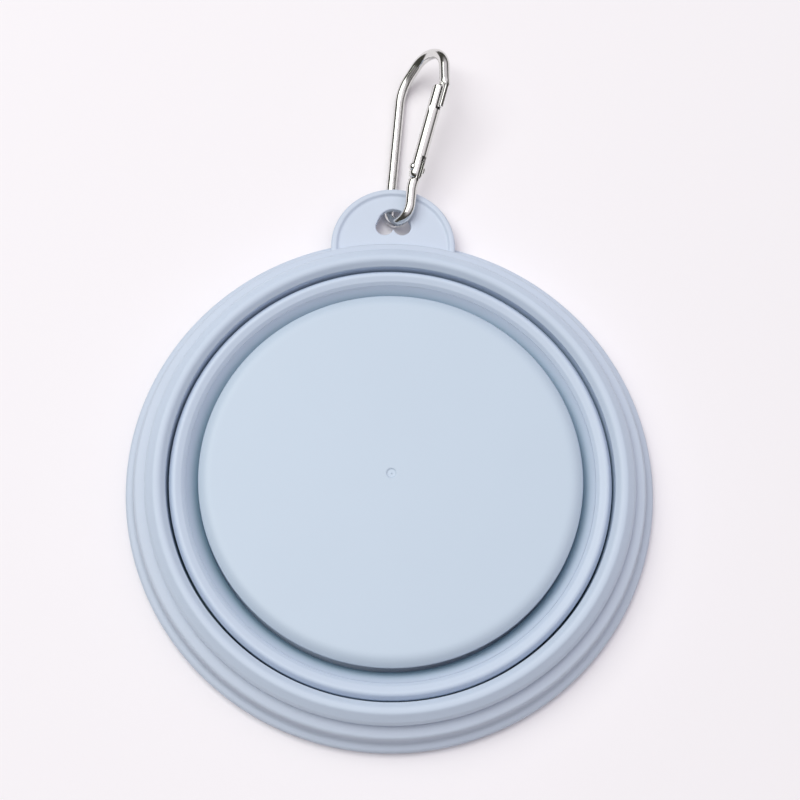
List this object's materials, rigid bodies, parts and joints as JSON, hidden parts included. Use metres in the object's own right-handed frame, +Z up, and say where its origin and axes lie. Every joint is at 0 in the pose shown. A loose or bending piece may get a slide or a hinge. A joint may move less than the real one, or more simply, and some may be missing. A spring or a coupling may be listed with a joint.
{
  "type": "collapsible dog bowl",
  "caption": "Round travel bowl for dogs, folded flat on its rim: hard rim and base, a soft wall that folds between them, and a wire snap hook through a tab.",
  "frame": {"origin": "on the table under the middle of the whole part, hook included", "axes": "+Y from the bowl towards its tab and hook, +Z up out of the bowl's underside"},
  "size_m": [0.13, 0.1828, 0.0156],
  "materials": {
    "hard_plastic": "satin moulded",
    "soft_plastic": "satin moulded, soft",
    "hook_metal": "polished plating",
    "spring_steel": "drawn wire"
  },
  "bodies": {
    "rim": {"rim_ring": "hard_plastic", "rim_bead": "soft_plastic", "outer_fold": "soft_plastic"},
    "middle": {"middle_band": "soft_plastic", "inner_fold": "soft_plastic"},
    "base": {"base_band": "soft_plastic", "base_plate": "hard_plastic"},
    "hook": {"hook_frame": "hook_metal"},
    "gate": {"hook_gate": "hook_metal", "gate_rivet": "hook_metal", "gate_spring": "spring_steel"},
    "plunger": {"gate_plunger": "spring_steel"}
  },
  "joints": [
    {"name": "outer_fold_slide", "type": "slide", "parent": "rim", "child": "middle", "axis": [0, 0, 1], "range_m": [0, 0.0178], "deforming": ["outer_fold"]},
    {"name": "inner_fold_slide", "type": "slide", "parent": "middle", "child": "base", "axis": [0, 0, 1], "range_m": [0, 0.0176], "deforming": ["inner_fold"]},
    {"name": "hook_swing", "type": "hinge", "parent": "rim", "child": "hook", "pos_m": [0.0013, 0.04329, 0], "axis": [0, 0, 1], "range_deg": [-20, 45]},
    {"name": "gate_hinge", "type": "hinge", "parent": "hook", "child": "gate", "pos_m": [0.00593, 0.05666, 0.00841], "axis": [-0.741, 0.057, 0.6691], "range_deg": [0, 28], "stiffness_Nm_per_rad": 0.03, "springref_deg": -11.46},
    {"name": "plunger_slide", "type": "slide", "parent": "gate", "child": "plunger", "axis": [0.249, 0.9487, 0.1948], "range_m": [0, 0.0005], "stiffness_N_per_m": 300, "springref_m": -0.002, "deforming": ["gate_spring"]}
  ]
}
